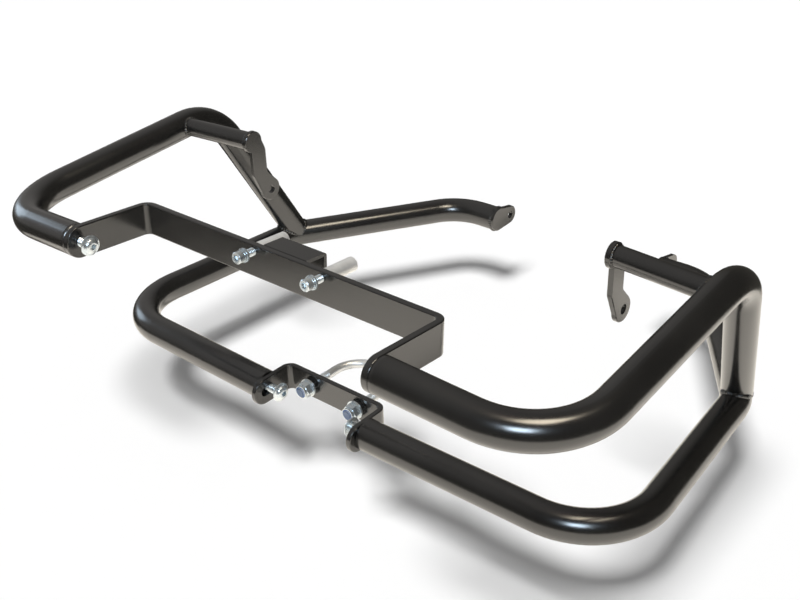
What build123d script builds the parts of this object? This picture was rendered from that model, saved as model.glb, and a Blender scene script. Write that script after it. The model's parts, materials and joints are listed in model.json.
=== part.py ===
"""Motorcycle crash bars: a mirrored pair of bent steel tubes joined by a front strap and a frame clamp.

Millimetres, X across the motorcycle, Y rearwards, Z up.
The origin is the centre of the frame tube that the lower clamp holds.
"""
from build123d import *
import os
from math import cos, radians, sin, tan

os.makedirs("parts", exist_ok=True)

# Tube stock
tube_d = 28.0
tube_wall = 2.0
front_bend = 68.0           # centreline radius of the front corners
rear_bend = 56.0            # the same of the rear corners and the stub
cross_d = 18.0
cross_wall = 2.0
weld_gap = 3.0              # the descending run stops this far above the lower bar's axis

# Upper bar, right side: end at the strap, front corner, rear corner
upper_end_y = -152.5
upper_end_z = 153.0
upper_front_x = 297.0
upper_front_y = -140.0
upper_front_z = 138.5
upper_rear_x = 296.5
upper_rear_y = 110.5
upper_rear_z = 160.5

# Lower bar, right side: end at the clamp bracket, front corner, rear corner, inward stub
lower_end_y = -56.0
lower_drop = 8.5            # the level loop lies this far under the clamp's axis
lower_front_x = 292.0
lower_front_y = -43.5
lower_rear_x = 276.0
lower_rear_y = 190.0
stub_corner_x = 161.5
stub_corner_y = 366.0
stub_end_x = 109.0
foot_along = 7.5            # from the lower bar's rear corner to the foot of the descending run

# Cross tube and its mount plate
cross_y = 71.5              # on the upper bar's side run
cross_inner_x = 206.0
cross_back = 9.5            # the inner end lies this much further back
cross_fall = 0.5
plate_t = 5.0
plate_top_r = 11.0
plate_neck_w = 18.0
plate_neck_back = 6.0       # neck's middle behind the cross tube's axis
plate_neck_drop = 36.0
plate_hole_back = 18.0
plate_hole_drop = 56.0
plate_foot_r = 11.5
plate_corner_r = 7.0
mount_hole_d = 9.0

# Rear tab on the stub
tab_t = 5.0
tab_hole_back = 22.0
tab_hole_drop = 2.0
tab_end_r = 11.0

# Front strap
strap_half = 166.0          # centre plane to the outer face of an arm
strap_w = 28.0
strap_t = 6.0
strap_arm = 74.5            # tube axis to the back face
strap_bend = 5.0            # inside radius
strap_pitch = 4.0           # degrees, the arms fall rearwards
collar_t = 3.0

# Channel welded on the back of the strap
channel_x = 2.0             # middle of the channel from the centre plane
channel_len = 47.0
channel_depth = 23.0
channel_h = 22.0
channel_t = 3.0
channel_bend = 3.0          # outside radius of its fold

# Strap screws and the spacer sleeves behind the strap
strap_screw_d = 6.0
strap_screw_from = -28.0    # first screw from the centre plane
strap_screw_pitch = 74.5
strap_screw_edge = 6.0      # axis below the strap's top edge
strap_screw_free = 9.0      # bare shank between the strap and the flat washer
strap_head_d = 10.0
strap_head_h = 6.0
strap_key = 5.0
strap_tip = 2.0             # the screw stands out of its sleeve by this much
washer_t = 1.6
strap_washer_d = 12.0
spring_washer_d = 11.0
spring_washer_cut = 1.0
spacer_d = 12.0
spacer_len = 30.0

# Tube screws with flanged button heads
screw_d = 8.0
screw_len = 35.0
screw_free = 11.0           # bare shank between the arm or ear and the flange
screw_home = 0.5            # the same on the upper right screw, which is run nearly home
flange_d = 17.5
flange_t = 1.6
button_d = 14.0
button_h = 3.2
button_crown_d = 7.0        # flat round the key
button_mid_d = 11.2         # half way round the dome
button_shoulder = 0.7       # rise to that place, as a share of the dome's height
screw_key = 5.0
key_depth = 2.6

# Frame clamp: bracket, U-bolt and nuts
clamp_tube_d = 48.0
rod_d = 8.0
bracket_half = 59.0         # centre plane to the outer face of an ear
bracket_w = 25.0
bracket_t = 5.0
bracket_back = 27.0         # clamp centre to the bracket's back face
bracket_bend = 5.0          # inside radius
slot_travel = 8.0
nut_free = 3.0              # bare thread between the bracket and the washer
nut_af = 13.0
nut_h = 6.5
nut_collar_d = 12.0
nut_collar_h = 2.6
ring_d = 10.4
ring_h = 2.0
rod_tip = 1.0               # the rod stands out of the nut by this much
clamp_washer_d = 17.0

# Fits
hole_clearance = 0.5        # on the radius of a plain hole
thread_clearance = 0.1      # on the radius of a threaded or close hole
edge_break = 0.6
bar_edge_r = 1.0            # rounded edges of the flat bars and plates

tube_r = tube_d / 2
lower_z = -lower_drop
upper_end_x = strap_half + collar_t
lower_end_x = bracket_half + collar_t
leg_x = (clamp_tube_d + rod_d) / 2

upper_end = Vector(upper_end_x, upper_end_y, upper_end_z)
upper_front = Vector(upper_front_x, upper_front_y, upper_front_z)
upper_rear = Vector(upper_rear_x, upper_rear_y, upper_rear_z)
lower_end = Vector(lower_end_x, lower_end_y, 0)
lower_front = Vector(lower_front_x, lower_front_y, lower_z)
lower_rear = Vector(lower_rear_x, lower_rear_y, lower_z)
stub_corner = Vector(stub_corner_x, stub_corner_y, lower_z)
stub_end = Vector(stub_end_x, stub_corner_y, lower_z)

foot = lower_rear + (stub_corner - lower_rear).normalized() * foot_along + Vector(0, 0, weld_gap)
side_share = (cross_y - upper_front_y) / (upper_rear_y - upper_front_y)
cross_outer = upper_front + (upper_rear - upper_front) * side_share
cross_inner = Vector(cross_inner_x, cross_y + cross_back, cross_outer.Z - cross_fall)


def run_past(end, corner, extra):
    """The end of a run, moved outwards along the run so that the tube can be trimmed flat."""
    return end - (corner - end).normalized() * extra


def across(x, y, z):
    """A plane square to X, with its own x along Y and its own y along Z."""
    return Plane(origin=(x, y, z), x_dir=(0, 1, 0), z_dir=(1, 0, 0))


def write(part, name):
    part.label = name
    export_step(part, f"parts/{name}.step")


def write_pair(part, name):
    """The right-hand piece and its mirror image on the left."""
    write(part, f"right_{name}")
    with BuildPart() as left:
        mirror(part, about=Plane.YZ)
    write(left.part, f"left_{name}")


def bent_solid(points, diameter):
    """A solid round bar bent along the points; the first bend is the front corner."""
    radii = [front_bend] + [rear_bend] * (len(points) - 3)
    with BuildPart() as bar:
        with BuildLine() as axis_line:
            FilletPolyline(*points, radius=radii)
        with BuildSketch(Plane(origin=axis_line.line @ 0, z_dir=axis_line.line % 0)):
            Circle(diameter / 2)
        sweep()
    return bar.part


# Bent bars
upper_points = (run_past(upper_end, upper_front, tube_r), upper_front, upper_rear, foot)
lower_points = (run_past(lower_end, lower_front, tube_r), lower_front, lower_rear, stub_corner, stub_end)
upper_rod = bent_solid(upper_points, tube_d)
upper_bore = bent_solid(upper_points, tube_d - 2 * tube_wall)
lower_rod = bent_solid(lower_points, tube_d)
lower_bore = bent_solid(lower_points, tube_d - 2 * tube_wall)

with BuildPart() as upper_tube:
    add(upper_rod)
    add(upper_bore, mode=Mode.SUBTRACT)
    split(bisect_by=Plane.YZ.offset(upper_end_x), keep=Keep.TOP)
    add(lower_rod, mode=Mode.SUBTRACT)
write_pair(upper_tube.part, "upper_tube")

with BuildPart() as lower_tube:
    add(lower_rod)
    add(lower_bore, mode=Mode.SUBTRACT)
    split(bisect_by=Plane.YZ.offset(lower_end_x), keep=Keep.TOP)
write_pair(lower_tube.part, "lower_tube")

# Cross tube, coped on the side run and trimmed flat on its mount plate
cross_plane = Plane(origin=cross_outer, z_dir=cross_inner - cross_outer)
with BuildPart() as cross_tube:
    with BuildSketch(cross_plane):
        Circle(cross_d / 2)
        Circle(cross_d / 2 - cross_wall, mode=Mode.SUBTRACT)
    extrude(amount=(cross_inner - cross_outer).length + cross_d)
    split(bisect_by=Plane.YZ.offset(cross_inner_x), keep=Keep.TOP)
    add(upper_rod, mode=Mode.SUBTRACT)
write_pair(cross_tube.part, "cross_tube")

# Mount plate: round head on the cross tube, neck, and a foot that kicks back to its hole
neck_front = plate_neck_back - plate_neck_w / 2
neck_rear = plate_neck_back + plate_neck_w / 2
head_side = plate_top_r * cos(radians(45))
foot_side = plate_foot_r * cos(radians(45))
with BuildPart() as mount_plate:
    with BuildSketch(across(cross_inner_x, cross_inner.Y, cross_inner.Z)) as plate_outline:
        with BuildLine():
            Polyline(
                (neck_front, 0),
                (neck_front, -plate_neck_drop),
                (plate_hole_back - foot_side, -plate_hole_drop - foot_side),
                (plate_hole_back, -plate_hole_drop),
                (plate_hole_back + foot_side, -plate_hole_drop + foot_side),
                (neck_rear, -plate_neck_drop),
                (neck_rear, -plate_top_r),
                (head_side, head_side),
                close=True,
            )
        make_face()
        corner_heights = (-plate_neck_drop, -plate_top_r)
        corners = plate_outline.vertices().filter_by(
            lambda v: min(abs(v.Y - height) for height in corner_heights) < edge_break
        )
        fillet(corners, plate_corner_r)
        Circle(plate_top_r)
        with Locations((plate_hole_back, -plate_hole_drop)):
            Circle(plate_foot_r)
    extrude(amount=-plate_t)
    chamfer(mount_plate.faces().filter_by(Axis.X).edges(), edge_break)
    hole_place = cross_inner + Vector(0, plate_hole_back, -plate_hole_drop)
    with BuildSketch(across(cross_inner_x, hole_place.Y, hole_place.Z)):
        Circle(mount_hole_d / 2)
    extrude(amount=-plate_t, mode=Mode.SUBTRACT)
write_pair(mount_plate.part, "mount_plate")

# Rear tab, welded over the open end of the stub
with BuildPart() as rear_tab:
    with BuildSketch(across(stub_end_x, stub_corner_y, lower_z)):
        with BuildLine():
            Polyline(
                (0, tube_r),
                (tab_hole_back, tab_end_r - tab_hole_drop),
                (tab_hole_back, -tab_end_r - tab_hole_drop),
                (0, -tube_r),
                close=True,
            )
        make_face()
        Circle(tube_r)
        with Locations((tab_hole_back, -tab_hole_drop)):
            Circle(tab_end_r)
    extrude(amount=-tab_t)
    chamfer(rear_tab.faces().filter_by(Axis.X).sort_by(Axis.X)[0].edges(), edge_break)
    with BuildSketch(across(stub_end_x, stub_corner_y + tab_hole_back, lower_z - tab_hole_drop)):
        Circle(mount_hole_d / 2)
    extrude(amount=-tab_t, mode=Mode.SUBTRACT)
write_pair(rear_tab.part, "rear_tab")


# Threaded collars that close the front ends of the tubes
def collar(x, end):
    with BuildPart() as ring:
        with BuildSketch(across(x, end.Y, end.Z)):
            Circle(tube_r)
            Circle(screw_d / 2 + thread_clearance, mode=Mode.SUBTRACT)
        extrude(amount=collar_t)
        rims = ring.edges().filter_by(GeomType.CIRCLE).sort_by(SortBy.RADIUS)[-2:]
        chamfer(rims.sort_by(Axis.X)[0], edge_break)
    return ring.part


write_pair(collar(strap_half, upper_end), "upper_collar")
write_pair(collar(bracket_half, lower_end), "lower_collar")


# Flanged button-head screws, heads inwards
def tube_screw(seat, end):
    """A right-hand screw with the outer side of its flange at x = seat."""
    axis = Axis(origin=(0, end.Y, end.Z), direction=(1, 0, 0))
    crown = flange_t + button_h
    with BuildPart() as screw:
        with BuildSketch(Plane(origin=(seat, end.Y, end.Z), x_dir=(-1, 0, 0), z_dir=(0, 0, -1))):
            with BuildLine():
                Polyline(
                    (-screw_len, 0),
                    (-screw_len, screw_d / 2 - edge_break),
                    (-screw_len + edge_break, screw_d / 2),
                    (0, screw_d / 2),
                    (0, flange_d / 2),
                    (flange_t / 2, flange_d / 2),
                    (flange_t, button_d / 2),
                )
                ThreePointArc(
                    (flange_t, button_d / 2),
                    (flange_t + button_h * button_shoulder, button_mid_d / 2),
                    (crown, button_crown_d / 2),
                )
                Polyline((crown, button_crown_d / 2), (crown, 0), (-screw_len, 0))
            make_face()
        revolve(axis=axis)
        with BuildSketch(Plane(origin=(seat - crown, end.Y, end.Z), x_dir=(0, 1, 0), z_dir=(1, 0, 0))):
            RegularPolygon(screw_key / 2, 6, major_radius=False)
        extrude(amount=key_depth, mode=Mode.SUBTRACT)
    return screw.part


def tube_screws(face_x, end, right_free, left_free):
    """A right and a left screw, each standing clear of a face at face_x by its own bare length."""
    with BuildPart() as pair:
        add(tube_screw(face_x - right_free, end))
        mirror(tube_screw(face_x - left_free, end), about=Plane.YZ)
    return pair.part


write(tube_screws(strap_half - strap_t, upper_end, screw_home, screw_free), "upper_tube_screws")
write(tube_screws(bracket_half - bracket_t, lower_end, screw_free, screw_free), "lower_tube_screws")


# Front strap: a flat bar folded to a U, with round ends on the tube axes
def folded_bar(plane, half, back, front, thick, width, inner_r):
    """A flat bar folded to a U in the plane, open to the front, with round ends centred on front."""
    with BuildPart() as bar:
        with BuildSketch(plane) as plan:
            with BuildLine():
                Polyline(
                    (-half, front - width),
                    (-half, back),
                    (half, back),
                    (half, front - width),
                    (half - thick, front - width),
                    (half - thick, back - thick),
                    (thick - half, back - thick),
                    (thick - half, front - width),
                    close=True,
                )
            make_face()
            fillet(plan.vertices().group_by(Axis.Y)[1], inner_r)
            fillet(plan.vertices().group_by(Axis.Y)[-1], inner_r + thick)
        extrude(amount=width / 2, both=True)
        with BuildSketch(Plane(origin=plane.origin, x_dir=plane.y_dir, z_dir=plane.x_dir)):
            with Locations((front, 0)):
                Circle(width / 2)
                Rectangle(back - front, width, align=(Align.MIN, Align.CENTER))
        extrude(amount=half, both=True, mode=Mode.INTERSECT)
        seams = bar.edges().filter_by(Axis(plane.origin, plane.z_dir))
        seams += bar.edges().filter_by(lambda edge: edge.length < thick + edge_break)
        fillet([edge for edge in bar.edges() if edge not in seams], bar_edge_r)
    return bar.part


pitch = radians(strap_pitch)
strap_plane = Plane(
    origin=(0, upper_end_y, upper_end_z),
    x_dir=(1, 0, 0),
    z_dir=(0, sin(pitch), cos(pitch)),
)
screw_z = strap_w / 2 - strap_screw_edge
strap_face = Plane(
    origin=strap_plane.from_local_coords((0, strap_arm - strap_t, screw_z)),
    x_dir=(-1, 0, 0),
    z_dir=strap_plane.y_dir * -1,
)
strap_back = strap_face.offset(-strap_t)
strap_face_axis = Axis(strap_face.origin, strap_face.z_dir)
screw_places = [(-strap_screw_from, 0), (-strap_screw_from - strap_screw_pitch, 0)]
arm_side = Plane(origin=strap_plane.origin, x_dir=strap_plane.y_dir, z_dir=(1, 0, 0))

with BuildPart() as front_strap:
    add(folded_bar(strap_plane, strap_half, strap_arm, 0, strap_t, strap_w, strap_bend))
    with BuildSketch(arm_side):
        Circle(screw_d / 2 + hole_clearance)
    extrude(amount=strap_half, both=True, mode=Mode.SUBTRACT)
    with BuildSketch(strap_face):
        with Locations(*screw_places):
            Circle(strap_screw_d / 2 + hole_clearance)
    extrude(amount=-strap_t, mode=Mode.SUBTRACT)
write(front_strap.part, "front_strap")

# Channel: a sheet folded over the back of the strap, flush with its top edge
channel_side = Plane(
    origin=strap_plane.from_local_coords((channel_x - channel_len / 2, strap_arm, strap_w / 2)),
    x_dir=strap_plane.y_dir,
    z_dir=(1, 0, 0),
)
with BuildPart() as strap_channel:
    with BuildSketch(channel_side) as channel_end:
        with BuildLine():
            Polyline(
                (0, 0),
                (channel_depth, 0),
                (channel_depth, -channel_h),
                (channel_depth - channel_t, -channel_h),
                (channel_depth - channel_t, -channel_t),
                (0, -channel_t),
                close=True,
            )
        make_face()
        fillet(channel_end.vertices().sort_by(lambda v: v.X + v.Y)[-1], channel_bend)
    extrude(amount=channel_len)
write(strap_channel.part, "strap_channel")

# Spacer sleeves behind the strap
for side, place in zip(("left", "right"), screw_places):
    with BuildPart() as spacer:
        with BuildSketch(strap_back):
            with Locations(place):
                Circle(spacer_d / 2)
                Circle(strap_screw_d / 2 + thread_clearance, mode=Mode.SUBTRACT)
        extrude(amount=-spacer_len)
        chamfer(spacer.faces().sort_by(strap_face_axis)[0].edges().sort_by(SortBy.RADIUS)[-1], edge_break)
    write(spacer.part, f"{side}_spacer")

# Strap screws with a flat washer and a split spring washer under each head
washer_seat = strap_screw_free
spring_seat = washer_seat + washer_t
head_seat = spring_seat + washer_t
with BuildPart() as strap_screws:
    with BuildSketch(strap_back.offset(-spacer_len - strap_tip)):
        with Locations(*screw_places):
            Circle(strap_screw_d / 2)
    extrude(amount=spacer_len + strap_tip + strap_t + head_seat)
    with BuildSketch(strap_face.offset(head_seat)):
        with Locations(*screw_places):
            Circle(strap_head_d / 2)
    extrude(amount=strap_head_h)
    head_rims = strap_screws.faces().sort_by(strap_face_axis)[-2:].edges()
    chamfer(head_rims, edge_break)
    with BuildSketch(strap_face.offset(head_seat + strap_head_h)):
        with Locations(*screw_places):
            RegularPolygon(strap_key / 2, 6, major_radius=False)
    extrude(amount=-strap_head_h / 2, mode=Mode.SUBTRACT)
write(strap_screws.part, "strap_screws")

with BuildPart() as strap_washers:
    with BuildSketch(strap_face.offset(washer_seat)):
        with Locations(*screw_places):
            Circle(strap_washer_d / 2)
            Circle(strap_screw_d / 2 + thread_clearance, mode=Mode.SUBTRACT)
    extrude(amount=washer_t)
write(strap_washers.part, "strap_washers")

with BuildPart() as strap_spring_washers:
    with BuildSketch(strap_face.offset(spring_seat)):
        with Locations(*screw_places):
            Circle(spring_washer_d / 2)
            Circle(strap_screw_d / 2 + thread_clearance, mode=Mode.SUBTRACT)
            split_align = (Align.MIN, Align.CENTER)
            Rectangle(spring_washer_d, spring_washer_cut, align=split_align, mode=Mode.SUBTRACT)
    extrude(amount=washer_t)
write(strap_spring_washers.part, "strap_spring_washers")

# Clamp bracket: a flat bar folded to a U, with slotted ears and two holes for the U-bolt
ear_side = Plane(origin=(0, lower_end_y, 0), x_dir=(0, 1, 0), z_dir=(1, 0, 0))
bracket_face = Plane(origin=(0, -bracket_back - bracket_t, 0), x_dir=(-1, 0, 0), z_dir=(0, -1, 0))
leg_places = [(-leg_x, 0), (leg_x, 0)]
ear_front = lower_end_y - slot_travel
with BuildPart() as lower_bracket:
    add(folded_bar(Plane.XY, bracket_half, -bracket_back, ear_front, bracket_t, bracket_w, bracket_bend))
    with BuildSketch(ear_side):
        with Locations((-slot_travel / 2, 0)):
            SlotCenterToCenter(slot_travel, screw_d + 2 * hole_clearance)
    extrude(amount=bracket_half, both=True, mode=Mode.SUBTRACT)
    with BuildSketch(bracket_face):
        with Locations(*leg_places):
            Circle(rod_d / 2 + hole_clearance)
    extrude(amount=-bracket_t, mode=Mode.SUBTRACT)
write(lower_bracket.part, "lower_bracket")

# U-bolt round the frame tube, legs forwards through the bracket
nut_seat = nut_free + washer_t
nut_top = nut_seat + nut_h + nut_collar_h
leg_tip = -bracket_back - bracket_t - nut_top - rod_tip
with BuildPart() as u_bolt:
    with BuildLine() as rod_line:
        Line((leg_x, leg_tip), (leg_x, 0))
        ThreePointArc((leg_x, 0), (0, leg_x), (-leg_x, 0))
        Line((-leg_x, 0), (-leg_x, leg_tip))
    with BuildSketch(Plane(origin=(leg_x, leg_tip, 0), z_dir=(0, 1, 0))):
        Circle(rod_d / 2)
    sweep()
    chamfer(u_bolt.faces().sort_by(Axis.Y)[:2].edges(), edge_break)
write(u_bolt.part, "u_bolt")

with BuildPart() as u_bolt_washers:
    with BuildSketch(bracket_face.offset(nut_free)):
        with Locations(*leg_places):
            Circle(clamp_washer_d / 2)
            Circle(rod_d / 2 + thread_clearance, mode=Mode.SUBTRACT)
    extrude(amount=washer_t)
write(u_bolt_washers.part, "u_bolt_washers")

# Locking nuts: hexagon, round collar and a nylon ring held in the collar
corner_r = nut_af / 2 / cos(radians(30))
corner_fall = (corner_r - nut_af / 2) * tan(radians(30))
with BuildPart() as u_bolt_nuts:
    with BuildSketch(bracket_face.offset(nut_seat)):
        with Locations(*leg_places):
            RegularPolygon(corner_r, 6)
    extrude(amount=nut_h)
    for leg in (-leg_x, leg_x):
        with BuildSketch(Plane(origin=(leg, bracket_face.origin.Y - nut_seat, 0), x_dir=(1, 0, 0))):
            with BuildLine():
                Polyline(
                    (nut_af / 2, -nut_h),
                    (corner_r + corner_fall, -nut_h),
                    (corner_r + corner_fall, -nut_h + 2 * corner_fall),
                    (corner_r, -nut_h + corner_fall),
                    close=True,
                )
            make_face()
        revolve(axis=Axis(origin=(leg, 0, 0), direction=(0, 1, 0)), mode=Mode.SUBTRACT)
    with BuildSketch(bracket_face.offset(nut_seat + nut_h)):
        with Locations(*leg_places):
            Circle(nut_collar_d / 2)
    extrude(amount=nut_collar_h)
    with BuildSketch(bracket_face.offset(nut_seat)):
        with Locations(*leg_places):
            Circle(rod_d / 2 + thread_clearance)
    extrude(amount=nut_top - nut_seat, mode=Mode.SUBTRACT)
    with BuildSketch(bracket_face.offset(nut_top)):
        with Locations(*leg_places):
            Circle(ring_d / 2 + thread_clearance)
    extrude(amount=-ring_h, mode=Mode.SUBTRACT)
write(u_bolt_nuts.part, "u_bolt_nuts")

with BuildPart() as nut_rings:
    with BuildSketch(bracket_face.offset(nut_top)):
        with Locations(*leg_places):
            Circle(ring_d / 2)
            Circle(rod_d / 2 + thread_clearance, mode=Mode.SUBTRACT)
    extrude(amount=-ring_h)
write(nut_rings.part, "nut_rings")
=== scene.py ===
import json
import math
import bpy
from mathutils import Matrix, Vector


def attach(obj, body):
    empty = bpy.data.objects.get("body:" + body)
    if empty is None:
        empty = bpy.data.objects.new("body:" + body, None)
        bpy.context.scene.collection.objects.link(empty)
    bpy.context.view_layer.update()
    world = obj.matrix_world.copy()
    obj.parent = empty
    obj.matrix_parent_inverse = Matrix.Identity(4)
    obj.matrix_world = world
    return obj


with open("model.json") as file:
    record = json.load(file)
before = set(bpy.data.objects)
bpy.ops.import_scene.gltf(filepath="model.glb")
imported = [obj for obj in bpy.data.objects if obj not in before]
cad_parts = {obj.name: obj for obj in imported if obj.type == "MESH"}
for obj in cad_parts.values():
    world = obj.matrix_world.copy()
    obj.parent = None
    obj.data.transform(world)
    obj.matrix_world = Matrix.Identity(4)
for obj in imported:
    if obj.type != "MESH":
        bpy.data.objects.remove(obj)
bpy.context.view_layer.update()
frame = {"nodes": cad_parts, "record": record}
nodes = frame["nodes"]
print("frame loaded:", len(nodes), "nodes")


# shader maths

class Wire:
    # a socket that takes part in sums; every sum adds a Math node
    def __init__(self, board, socket):
        self.board = board
        self.socket = socket

    def maths(self, operation, first, second):
        return self.board.add("ShaderNodeMath", {"operation": operation}, {0: first, 1: second})

    def __add__(self, other):
        return self.maths("ADD", self, other)

    def __radd__(self, other):
        return self.maths("ADD", other, self)

    def __sub__(self, other):
        return self.maths("SUBTRACT", self, other)

    def __rsub__(self, other):
        return self.maths("SUBTRACT", other, self)

    def __mul__(self, other):
        return self.maths("MULTIPLY", self, other)

    def __rmul__(self, other):
        return self.maths("MULTIPLY", other, self)


class Board:
    # the node tree of one material or of the world
    def __init__(self, tree):
        self.tree = tree
        tree.nodes.clear()

    def add(self, kind, settings, sockets, out=0):
        node = self.tree.nodes.new(kind)
        for key, value in settings.items():
            if key == "stops":  # a ramp's places and colours
                band = node.color_ramp
                while len(band.elements) < len(value):
                    band.elements.new(1.0)
                for element, (place, colour) in zip(band.elements, value):
                    element.position = place
                    element.color = colour
            else:
                setattr(node, key, value)
        for key, value in sockets.items():
            if isinstance(value, Wire):
                self.tree.links.new(value.socket, node.inputs[key])
            else:
                node.inputs[key].default_value = value
        return Wire(self, node.outputs[out]) if len(node.outputs) else node


def newBoard(name):
    material = bpy.data.materials.new(name)
    material.use_nodes = True
    return material, Board(material.node_tree)


def objectCoords(board):
    return board.add("ShaderNodeTexCoord", {}, {}, "Object")


def noise(board, coords, scale, detail, roughness):
    return board.add("ShaderNodeTexNoise", {}, {
        "Vector": coords, "Scale": scale, "Detail": detail, "Roughness": roughness})


def blendColours(board, share, low, high):
    return board.add("ShaderNodeMix", {"data_type": "RGBA"}, {0: share, 6: low, 7: high}, 2)


def ramp(board, share, low, high, top=1.0):
    stops = [(low, (0, 0, 0, 1)), (high, (top, top, top, 1))]
    return board.add("ShaderNodeValToRGB", {"stops": stops}, {"Fac": share})


def bump(board, height, strength, depth):
    return board.add("ShaderNodeBump", {}, {"Height": height, "Strength": strength, "Distance": depth})


def lightPath(board):
    rays = ("Is Camera Ray", "Is Glossy Ray", "Is Transmission Ray")
    return [board.add("ShaderNodeLightPath", {}, {}, ray) for ray in rays]


def closeMaterial(board, sockets):
    surface = board.add("ShaderNodeBsdfPrincipled", {}, sockets)
    board.add("ShaderNodeOutputMaterial", {}, {"Surface": surface})


# finishes; a noise is given by its scale, detail and roughness, a bump by its strength and depth

powderCoat = {
    "deep": (0.006, 0.006, 0.006, 1), "lifted": (0.012, 0.0116, 0.011, 1),
    "cloud": (16, 4, 0.5), "cloudEdges": (0.30, 0.75),
    "roughness": 0.23, "roughnessSpread": 0.10, "weldGloss": 0.06, "ior": 1.8,
    "peel": (430, 2, 0.45), "peelBump": (0.10, 0.00012),
    "speck": (900, 3, 0.7), "speckEdges": (0.66, 0.80),
    "dustColour": (0.10, 0.098, 0.094, 1), "dustShare": 0.05, "dustRoughness": 0.8,
}


def makePowderCoat(name, look, gloss=0.0):
    material, board = newBoard(name)
    coords = objectCoords(board)
    cloud = noise(board, coords, *look["cloud"])
    peel = noise(board, coords, *look["peel"])
    speck = noise(board, coords, *look["speck"])
    dust = ramp(board, speck, *look["speckEdges"]) * look["dustShare"]
    base = blendColours(board, ramp(board, cloud, *look["cloudEdges"]), look["deep"], look["lifted"])
    rough = look["roughness"] - gloss + (cloud - 0.5) * look["roughnessSpread"] + dust * look["dustRoughness"]
    closeMaterial(board, {
        "Base Color": blendColours(board, dust, base, look["dustColour"]), "Roughness": rough,
        "Normal": bump(board, peel, *look["peelBump"]), "IOR": look["ior"]})
    return material


plating = {  # what all zinc has in common
    "film": (130, 4, 0.6), "filmEdges": (0.35, 0.68), "filmMiddle": 0.4,
    "grain": (1500, 3, 0.6), "grainBump": (0.08, 0.0001), "stainEdges": (0.58, 0.85), "stainShare": 0.6,
}

zincPlate = {
    "cool": (0.60, 0.68, 0.74, 1), "warm": (0.74, 0.76, 0.75, 1), "stain": (0.36, 0.41, 0.46, 1),
    "roughness": 0.26, "roughnessSpread": 0.22, "metallic": 0.82,
}

paleZinc = {  # the U-bolt, duller and lighter than the screws and nuts
    "cool": (0.84, 0.86, 0.86, 1), "warm": (0.92, 0.91, 0.88, 1), "stain": (0.66, 0.68, 0.69, 1),
    "roughness": 0.34, "roughnessSpread": 0.16, "metallic": 0.50,
}

shadedBoltTips = {  # the ends of its legs in front of "from", painted dark blue-grey: painted shade of the recess inside the nuts' nylon
    "cool": (0.08, 0.12, 0.21, 1), "warm": (0.15, 0.19, 0.27, 1), "stain": (0.04, 0.05, 0.09, 1),
    "roughness": 0.40, "roughnessSpread": 0.20, "metallic": 0.60, "from": -0.0445,
}


def makeZinc(name, look):
    material, board = newBoard(name)
    coords = objectCoords(board)
    film = noise(board, coords, *plating["film"])
    grain = noise(board, coords, *plating["grain"])
    tint = blendColours(board, ramp(board, film, *plating["filmEdges"]), look["cool"], look["warm"])
    stain = ramp(board, grain, *plating["stainEdges"], plating["stainShare"])
    closeMaterial(board, {
        "Base Color": blendColours(board, stain, tint, look["stain"]),
        "Roughness": look["roughness"] + (film - plating["filmMiddle"]) * look["roughnessSpread"],
        "Metallic": look["metallic"], "Normal": bump(board, grain, *plating["grainBump"])})
    return material


sleeveAlloy = {
    "pale": (0.92, 0.91, 0.88, 1), "shade": (0.74, 0.73, 0.71, 1),
    "film": (90, 3, 0.5), "filmEdges": (0.35, 0.75),
    "turning": {"Scale": 700, "Distortion": 1.5, "Detail": 2.0}, "turningBump": (0.10, 0.0001),
    "roughness": 0.34, "turningRoughness": 0.08, "metallic": 0.5,
}


def makeSleeveAlloy(name, look):
    material, board = newBoard(name)
    coords = objectCoords(board)
    turned = board.add("ShaderNodeTexWave", {"bands_direction": "Y"},
                       {"Vector": coords, **look["turning"]}, "Fac")
    film = ramp(board, noise(board, coords, *look["film"]), *look["filmEdges"])
    closeMaterial(board, {
        "Base Color": blendColours(board, film, look["pale"], look["shade"]),
        "Roughness": look["roughness"] + turned * look["turningRoughness"],
        "Metallic": look["metallic"], "Normal": bump(board, turned, *look["turningBump"])})
    return material


nutNylon = {
    "deep": (0.020, 0.060, 0.190, 1), "light": (0.050, 0.130, 0.330, 1), "cloud": (420, 3, 0.5),
    "cloudBump": (0.10, 0.0001), "roughness": 0.40, "roughnessSpread": 0.2,
}


def makeNutNylon(name, look):
    material, board = newBoard(name)
    cloud = noise(board, objectCoords(board), *look["cloud"])
    closeMaterial(board, {
        "Base Color": blendColours(board, cloud, look["deep"], look["light"]),
        "Roughness": look["roughness"] + (cloud - 0.5) * look["roughnessSpread"],
        "Normal": bump(board, cloud, *look["cloudBump"])})
    return material


materials = {
    "powder_coat": makePowderCoat("satinPowderCoat", powderCoat),
    "zinc_plate": makeZinc("bluishZinc", zincPlate),
    "sleeve_alloy": makeSleeveAlloy("turnedSleeve", sleeveAlloy),
    "nut_nylon": makeNutNylon("blueNylon", nutNylon),
}
weldCoat = makePowderCoat("glossyWeldCoat", powderCoat, powderCoat["weldGloss"])
boltZinc = makeZinc("paleZinc", paleZinc)

slotOf = {entry["node"]: entry["material_slot"] for entry in frame["record"]["subparts"]}
for name, node in nodes.items():
    node.data.materials.clear()
    node.data.materials.append(boltZinc if name == "u_bolt" else materials[slotOf[name]])
bolt = nodes["u_bolt"]
# the leg ends take painted shade, a dark blue-grey that stands for the recess inside the nuts
bolt.data.materials.append(makeZinc("paintedShadeBoltTips", shadedBoltTips))
for face in bolt.data.polygons:
    face.material_index = int(face.center.y < shadedBoltTips["from"])
print("finishes on", len(slotOf), "nodes")


# helpers for new pieces

mergeReach = 1e-6


def deselectAll():
    if bpy.context.object and bpy.context.object.mode != "OBJECT":
        bpy.ops.object.mode_set(mode="OBJECT")
    bpy.ops.object.select_all(action="DESELECT")


def pick(piece):
    deselectAll()
    piece.select_set(True)
    bpy.context.view_layer.objects.active = piece


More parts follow.
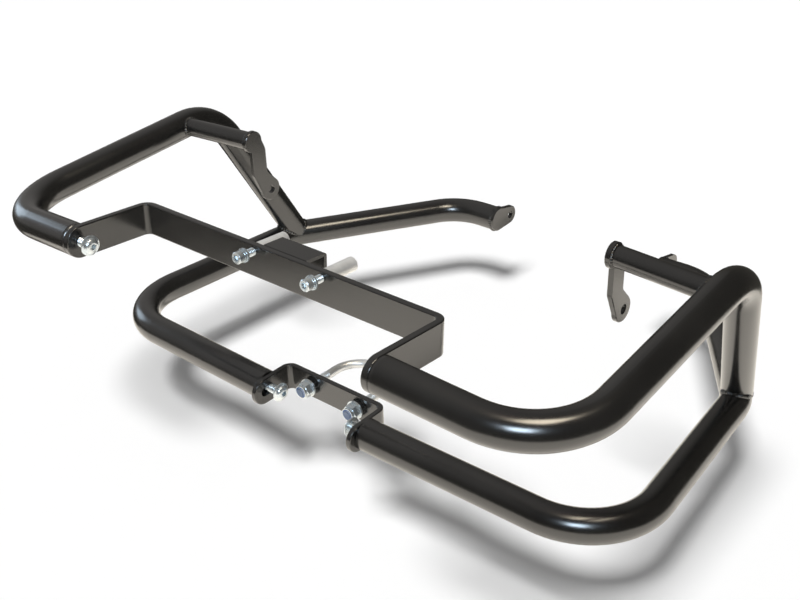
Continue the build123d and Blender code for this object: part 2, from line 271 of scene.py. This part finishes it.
def pickVertices(piece, wanted):
    bpy.ops.object.mode_set(mode="OBJECT")
    for part in (*piece.data.polygons, *piece.data.edges):
        part.select = False
    for vertex in piece.data.vertices:
        vertex.select = wanted(vertex.co)
    bpy.ops.object.mode_set(mode="EDIT")


def mergeDoubles():
    bpy.ops.object.mode_set(mode="EDIT")
    bpy.ops.mesh.select_all(action="SELECT")
    bpy.ops.mesh.remove_doubles(threshold=mergeReach)


def facing(direction):
    return Vector(direction).to_track_quat("Z", "Y")


def seat(piece, name, material):
    pick(piece)
    bpy.ops.object.transform_apply(location=True, rotation=True, scale=True)
    piece.name = name
    piece.data.name = name
    piece.data.materials.clear()
    piece.data.materials.append(material)
    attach(piece, "root")


# thread ridges on the bare lengths of the screws and of the U-bolt's legs

strapSeat = {  # the screws' place on the strap: its fall to the rear, its axis, and from there back and up
    "fall": 4.0, "pivot": (0, -0.1525, 0.153), "back": 0.0597, "up": 0.008,
}
strapFall = math.radians(strapSeat["fall"])
strapAlong = Vector((0, math.cos(strapFall), -math.sin(strapFall)))
strapUp = Vector((0, math.sin(strapFall), math.cos(strapFall)))
strapStart = Vector(strapSeat["pivot"]) + strapAlong * strapSeat["back"] + strapUp * strapSeat["up"]

threads = {
    "coarse": {"radius": 0.0040, "height": 0.00042, "pitch": 0.00125},
    "fine": {"radius": 0.0030, "height": 0.00034, "pitch": 0.0010},
    "sunk": 0.00012, "crest": 0.94,  # depth of the ridge's foot inside the rod, and its share of the pitch
    "steps": 24, "smooth": 50,
    "runs": [  # name, kind, start, direction, length
        ("leftUpperThread", "coarse", (-0.1492, -0.1525, 0.153), (-1, 0, 0), 0.0150),
        ("rightLowerThread", "coarse", (0.0432, -0.056, 0.0), (1, 0, 0), 0.0140),
        ("leftLowerThread", "coarse", (-0.0432, -0.056, 0.0), (-1, 0, 0), 0.0140),
        ("leftStrapThread", "fine", strapStart + Vector((-0.028, 0, 0)), strapAlong, 0.0110),
        ("rightStrapThread", "fine", strapStart + Vector((0.0465, 0, 0)), strapAlong, 0.0110),
        ("rightLegThread", "coarse", (0.028, -0.0348, 0.0), (0, 1, 0), 0.0240),
        ("leftLegThread", "coarse", (-0.028, -0.0348, 0.0), (0, 1, 0), 0.0240),
    ],
}


def makeThread(name, kind, start, direction, length):
    size = threads[kind]
    pitch = size["pitch"]
    deselectAll()
    bpy.ops.mesh.primitive_plane_add(size=pitch / math.sqrt(2), rotation=(math.pi / 2, math.pi / 4, 0))
    ridge = bpy.context.object
    bpy.ops.object.transform_apply(rotation=True)
    bpy.ops.object.mode_set(mode="EDIT")
    bpy.ops.mesh.select_mode(type="VERT")
    pickVertices(ridge, lambda place: place.x < -pitch / 4)
    bpy.ops.mesh.delete(type="VERT")  # leaves the V of one thread
    pickVertices(ridge, lambda place: place.x < pitch / 4)
    bpy.ops.mesh.edge_face_add()  # its foot
    bpy.ops.mesh.select_all(action="SELECT")
    tall = (size["height"] + threads["sunk"]) * 2 / pitch
    bpy.ops.transform.resize(value=(tall, 1, threads["crest"]), center_override=(0, 0, 0))
    bpy.ops.transform.translate(value=(size["radius"] - threads["sunk"], 0, pitch / 2))
    bpy.ops.object.mode_set(mode="OBJECT")
    turn = ridge.modifiers.new("turn", "SCREW")
    turn.axis = "Z"
    turn.screw_offset = pitch
    turn.iterations = int(length / pitch)
    turn.steps = turn.render_steps = threads["steps"]
    bpy.ops.object.modifier_apply(modifier="turn")
    mergeDoubles()
    bpy.ops.mesh.fill_holes(sides=4)  # both ends of the ridge
    bpy.ops.mesh.normals_make_consistent(inside=False)
    bpy.ops.object.mode_set(mode="OBJECT")
    bpy.ops.object.shade_smooth_by_angle(angle=math.radians(threads["smooth"]))
    ridge.matrix_world = Matrix.Translation(Vector(start)) @ facing(direction).to_matrix().to_4x4()
    seat(ridge, name, boltZinc if "Leg" in name else materials["zinc_plate"])


for run in threads["runs"]:
    makeThread(*run)
print("threads:", len(threads["runs"]))


# weld beads round the joints

barPlaces = {  # corners of the right bars' axes, and where the other pieces meet them
    "upperFront": (0.297, -0.140, 0.1385), "upperRear": (0.2965, 0.1105, 0.1605),
    "lowerRear": (0.276, 0.190, -0.0085), "stubCorner": (0.1615, 0.366, -0.0085),
    "stubEnd": (0.109, 0.366, -0.0085), "footAlong": 0.0075, "footLift": 0.003,
    "crossY": 0.0715, "crossInner": (0.206, 0.081), "crossFall": 0.0005,
}
upperFront, upperRear, lowerRear, stubCorner, stubEnd = (
    Vector(barPlaces[key]) for key in ("upperFront", "upperRear", "lowerRear", "stubCorner", "stubEnd"))
footPoint = lowerRear + (stubCorner - lowerRear).normalized() * barPlaces["footAlong"]
footPoint.z += barPlaces["footLift"]
crossShare = (barPlaces["crossY"] - upperFront.y) / (upperRear.y - upperFront.y)
crossOuter = upperFront + (upperRear - upperFront) * crossShare
crossInner = Vector((*barPlaces["crossInner"], crossOuter.z - barPlaces["crossFall"]))

# the welded tube, what it is welded onto, the joint's point on the tube's axis, the direction there, the reach
# along it, the tube's radius, the bead's radius and the length of one puddle
welds = [
    {"name": "FootWeld", "tube": "upper_tube", "onto": "lower_tube",
     "at": footPoint, "along": footPoint - upperRear,
     "reach": 0.030, "radius": 0.0140, "bead": 0.0034, "ripple": 0.0030},
    {"name": "CrossWeld", "tube": "cross_tube", "onto": "upper_tube",
     "at": crossOuter, "along": crossOuter - crossInner,
     "reach": 0.030, "radius": 0.0090, "bead": 0.0028, "ripple": 0.0026},
    {"name": "PlateWeld", "tube": "cross_tube", "onto": "mount_plate",
     "at": crossInner, "along": crossInner - crossOuter,
     "reach": 0.012, "radius": 0.0090, "bead": 0.0021, "ripple": 0.0024},
    {"name": "TabWeld", "tube": "lower_tube", "onto": "rear_tab",
     "at": stubEnd, "along": Vector((-1, 0, 0)),
     "reach": 0.006, "radius": 0.0140, "bead": 0.0018, "ripple": 0.0024},
]
weldLook = {
    "wall": 0.0007,  # how far from the tube's radius an edge of the joint may lie
    "sharp": 30, "cuts": 5, "roundness": 3,
    "sunk": 0.35,  # share of a bead's radius that its middle lies inside the corner
    "thinnest": 0.15, "fullCorner": 0.6,  # a bead thins out where the two surfaces run flush
    "puddle": (0.84, 0.20), "wander": 0.06, "wanderRate": 420,
}


def makeWeld(spec, side, sign):
    flip = Vector((sign, 1, 1))
    centre, along = spec["at"] * flip, (spec["along"] * flip).normalized()
    seam = bpy.data.objects.new(side + spec["name"], nodes[f"{side}_{spec['tube']}"].data.copy())
    bpy.context.scene.collection.objects.link(seam)
    pick(seam)
    mergeDoubles()
    bpy.ops.mesh.select_mode(type="EDGE")
    bpy.ops.mesh.select_all(action="DESELECT")
    bpy.ops.mesh.edges_select_sharp(sharpness=math.radians(weldLook["sharp"]))
    bpy.ops.object.mode_set(mode="OBJECT")
    onSeam = []
    for vertex in seam.data.vertices:
        away = vertex.co - centre
        lift = away.dot(along)
        offWall = abs((away - along * lift).length - spec["radius"])
        onSeam.append(abs(lift) < spec["reach"] and offWall < weldLook["wall"])
    for edge in seam.data.edges:
        edge.select = edge.select and all(onSeam[v] for v in edge.vertices)
    bpy.ops.object.mode_set(mode="EDIT")
    bpy.ops.mesh.select_all(action="INVERT")
    bpy.ops.mesh.delete(type="EDGE_FACE")
    bpy.ops.mesh.select_all(action="SELECT")
    bpy.ops.mesh.delete_loose(use_verts=True, use_edges=False, use_faces=False)
    bpy.ops.mesh.select_all(action="SELECT")
    bpy.ops.mesh.subdivide(number_cuts=weldLook["cuts"])
    bpy.ops.object.mode_set(mode="OBJECT")
    bpy.ops.object.convert(target="CURVE")
    seam.data.bevel_depth = spec["bead"]
    seam.data.bevel_resolution = weldLook["roundness"]
    seam.data.use_fill_caps = True
    ground = nodes[f"{side}_{spec['onto']}"]
    low, swell = weldLook["puddle"]
    for spline in seam.data.splines:
        run, last = 0.0, spline.points[0].co.xyz
        for point in spline.points:  # overlapping puddles along the seam
            place = point.co.xyz
            run += (place - last).length
            last = place
            away = place - centre
            outwards = (away - along * away.dot(along)).normalized()
            under = ground.closest_point_on_mesh(place)[2]
            corner = (1 - outwards.dot(under)) / weldLook["fullCorner"]
            corner = min(1.0, max(weldLook["thinnest"], corner))
            puddle = low + swell * abs(math.sin(math.pi * run / spec["ripple"]))
            puddle += weldLook["wander"] * math.sin(run * weldLook["wanderRate"])
            point.radius = corner * puddle
            sunk = place - (outwards + under).normalized() * spec["bead"] * corner * weldLook["sunk"]
            point.co = (*sunk, 1)
    bpy.ops.object.convert(target="MESH")
    mergeDoubles()
    bpy.ops.mesh.normals_make_consistent(inside=False)
    bpy.ops.object.mode_set(mode="OBJECT")
    bpy.ops.object.shade_smooth()
    seat(seam, side + spec["name"], weldCoat)


for spec in welds:
    for side, sign in (("right", 1), ("left", -1)):
        makeWeld(spec, side, sign)
print("welds:", 2 * len(welds))


# floor, light and camera

floorLook = {
    "height": -0.105, "size": 14.0, "colour": (0.94, 0.94, 0.94, 1), "lift": 0.06,
    "mirrored": (1.50, 1.40, 1.24, 1),  # its colour in reflections, painted brighter and warmer than white: a painted reflection on the tubes
}
deselectAll()
bpy.ops.mesh.primitive_plane_add(size=floorLook["size"], location=(0, 0, floorLook["height"]))
floor = bpy.context.object
floor.name = "studioFloor"
floorMaterial, board = newBoard("paleFloor")
cameraRay, glossyRay, clearRay = lightPath(board)
# for glossy rays the floor's colour is painted brighter and warmer, a painted reflection on the tubes
colour = blendColours(board, glossyRay, floorLook["colour"], floorLook["mirrored"])
matte = board.add("ShaderNodeBsdfDiffuse", {}, {"Color": colour})
strength = (cameraRay + glossyRay + clearRay) * floorLook["lift"]
glow = board.add("ShaderNodeEmission", {}, {"Strength": strength})
pale = board.add("ShaderNodeAddShader", {}, {0: matte, 1: glow})
board.add("ShaderNodeOutputMaterial", {}, {"Surface": pale})
floor.data.materials.append(floorMaterial)

worldLook = {"colour": (1, 1, 1, 1), "ambient": 0.15, "white": 1.0}
world = bpy.data.worlds.new("studioWorld")
bpy.context.scene.world = world
world.use_nodes = True
board = Board(world.node_tree)
plain, white = (
    board.add("ShaderNodeBackground", {}, {"Color": worldLook["colour"], "Strength": worldLook[key]})
    for key in ("ambient", "white"))
cameraRay, glossyRay, clearRay = lightPath(board)
seen = board.add("ShaderNodeMixShader", {}, {0: cameraRay + glossyRay + clearRay, 1: plain, 2: white})
board.add("ShaderNodeOutputWorld", {}, {"Surface": seen})

roomLook = {  # a dim glowing dome round the set, which only shows as a reflection on the tubes: a painted reflection of a dark room
    "radius": 3.2, "segments": 72, "rings": 60, "above": 0.002,
    "paper": 0.66, "middle": (0.18, -0.14),  # the paper floor lies open this far round the middle
    "right": (0.085, 0.078, 0.066, 1), "left": (0.36, 0.345, 0.33, 1),
    "leftwards": 0.5, "upwards": 0.35, "edges": (0.74, 1.0),  # painted reflection, paler to the left and overhead
}
deselectAll()
bpy.ops.mesh.primitive_uv_sphere_add(segments=roomLook["segments"], ring_count=roomLook["rings"],
                                     radius=roomLook["radius"])
room = bpy.context.object
room.name = "dimRoom"
roomFloor = floorLook["height"] + roomLook["above"]
bpy.ops.object.mode_set(mode="EDIT")
bpy.ops.mesh.select_mode(type="VERT")
pickVertices(room, lambda place: place.z < roomFloor)
bpy.ops.transform.resize(value=(1, 1, 0), center_override=(0, 0, roomFloor))
pickVertices(room, lambda place: place.z < 0 and math.dist(place.xy, roomLook["middle"]) < roomLook["paper"])
bpy.ops.mesh.delete(type="VERT")
bpy.ops.object.mode_set(mode="OBJECT")
room.visible_camera = room.visible_diffuse = room.visible_transmission = room.visible_shadow = False
roomMaterial, board = newBoard("glowingReflectionRoom")
coords = objectCoords(board)
across = board.add("ShaderNodeSeparateXYZ", {}, {"Vector": coords}, "X")
height = board.add("ShaderNodeSeparateXYZ", {}, {"Vector": coords}, "Z")
leftwards, upwards = (roomLook[key] / roomLook["radius"] for key in ("leftwards", "upwards"))
share = ramp(board, 0.5 - across * leftwards + height * upwards, *roomLook["edges"])
shade = blendColours(board, share, roomLook["right"], roomLook["left"])
# the room's glow is painted reflection: an emission that only the tubes' reflections see
roomGlow = board.add("ShaderNodeEmission", {}, {"Color": shade})
board.add("ShaderNodeOutputMaterial", {}, {"Surface": roomGlow})
room.data.materials.append(roomMaterial)

lights = {  # the sun lights the floor and the object, the three boxes only show as reflections
    "keySun": {"kind": "SUN", "from": (0.09, -0.43, 0.90), "energy": 3.0, "angle": 17, "colour": (1, 1, 1)},
    "frontBox": {"kind": "AREA", "at": (0.919, -1.041, 1.044), "to": (0.26, -0.10, 0.08),
                 "size": (0.44, 0.44), "energy": 13, "colour": (0.70, 0.85, 1.0)},
    "topBox": {"kind": "AREA", "at": (0.577, -0.04, 1.547), "to": (0.27, -0.09, 0.08),
               "size": (0.55, 0.45), "energy": 9.0, "colour": (1.0, 0.88, 0.70)},
    "leftBox": {"kind": "AREA", "at": (-1.57, -0.10, 0.41), "to": (-0.10, -0.10, 0.10),
                "size": (0.50, 0.50), "energy": 2.4, "colour": (0.70, 0.85, 1.0)},
}
for name, spec in lights.items():
    lamp = bpy.data.lights.new(name, spec["kind"])
    lamp.energy = spec["energy"]
    lamp.color = spec["colour"]
    holder = bpy.data.objects.new(name, lamp)
    bpy.context.scene.collection.objects.link(holder)
    holder.visible_camera = False
    holder.visible_glossy = spec["kind"] == "AREA"
    holder.visible_diffuse = spec["kind"] == "SUN"
    if spec["kind"] == "SUN":
        lamp.angle = math.radians(spec["angle"])
        holder.rotation_euler = facing(spec["from"]).to_euler()
    else:
        lamp.shape = "RECTANGLE"
        lamp.size, lamp.size_y = spec["size"]
        holder.location = spec["at"]
        holder.rotation_euler = facing(Vector(spec["at"]) - Vector(spec["to"])).to_euler()

cameraLook = {
    "azimuth": 40.84, "elevation": 29.53, "roll": -1.87, "at": (0.56798, -0.5959, 0.54782),
    "lens": 49.13, "sensor": 36.0, "near": 0.02,
}
turn, rise, lean = (math.radians(cameraLook[key]) for key in ("azimuth", "elevation", "roll"))
backwards = Vector((math.sin(turn) * math.cos(rise), -math.cos(turn) * math.cos(rise), math.sin(rise)))
level = Vector((math.cos(turn), math.sin(turn), 0))
plumb = backwards.cross(level)
right = level * math.cos(lean) + plumb * math.sin(lean)
upright = plumb * math.cos(lean) - level * math.sin(lean)
camera = bpy.data.objects.new("photoCamera", bpy.data.cameras.new("photoCamera"))
bpy.context.scene.collection.objects.link(camera)
camera.data.lens = cameraLook["lens"]
camera.data.sensor_width = cameraLook["sensor"]
camera.data.sensor_fit = "HORIZONTAL"
camera.data.clip_start = cameraLook["near"]
stance = Matrix((right, upright, backwards)).transposed().to_4x4()
camera.matrix_world = Matrix.Translation(Vector(cameraLook["at"])) @ stance
bpy.context.scene.camera = camera
bpy.context.scene.view_settings.view_transform = "Standard"
print("floor, light and camera set")

deselectAll()
